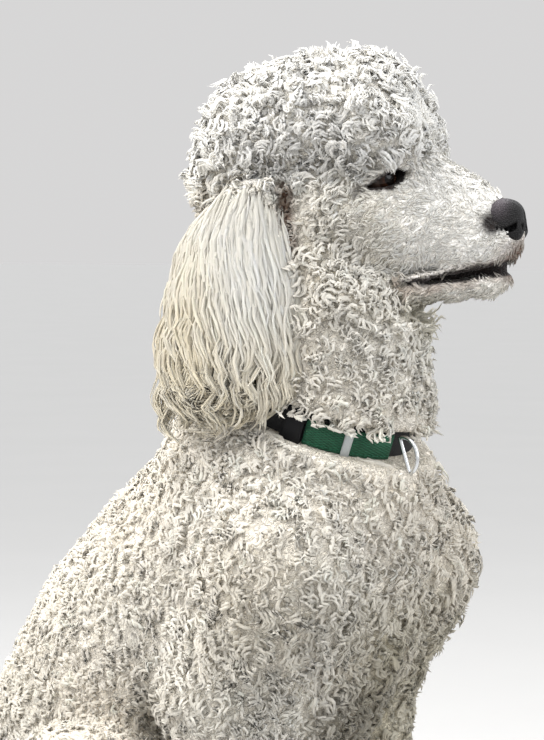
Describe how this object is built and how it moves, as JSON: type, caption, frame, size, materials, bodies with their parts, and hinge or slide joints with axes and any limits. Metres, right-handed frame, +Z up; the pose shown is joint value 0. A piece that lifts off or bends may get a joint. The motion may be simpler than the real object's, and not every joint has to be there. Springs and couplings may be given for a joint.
{
  "type": "standard poodle",
  "caption": "Life-size still model of a white standard poodle sitting with its head turned, in a curly coat with a topknot, wearing a woven collar.",
  "frame": {"origin": "on the floor, under the middle of the dog's box", "axes": "+X the way the chest faces, +Y the dog's left, +Z up"},
  "size_m": [0.5974, 0.324, 0.7528],
  "materials": {
    "coat": "white curly dog hair with a warm cream tint",
    "ear_coat": "long wavy cream dog hair",
    "nose_pad": "moist black pebbled skin",
    "eye": "wet dark brown eye",
    "webbing": "black nylon webbing",
    "ribbon": "dark green woven ribbon",
    "black_plastic": "moulded black plastic",
    "steel": "polished steel wire"
  },
  "bodies": {
    "root": {"torso": "coat", "neck": "coat", "head": "coat", "lower_jaw": "coat", "topknot": "coat", "nose": "nose_pad", "tail": "coat", "ear_right": "ear_coat", "ear_left": "ear_coat", "eye_right": "eye", "eye_left": "eye", "fore_leg_right": "coat", "fore_leg_left": "coat", "hind_leg_right": "coat", "hind_leg_left": "coat", "collar_strap": "webbing", "collar_ribbon": "ribbon", "collar_keeper": "steel", "collar_slider": "black_plastic", "collar_buckle": "black_plastic", "collar_d_ring": "steel"}
  },
  "joints": []
}
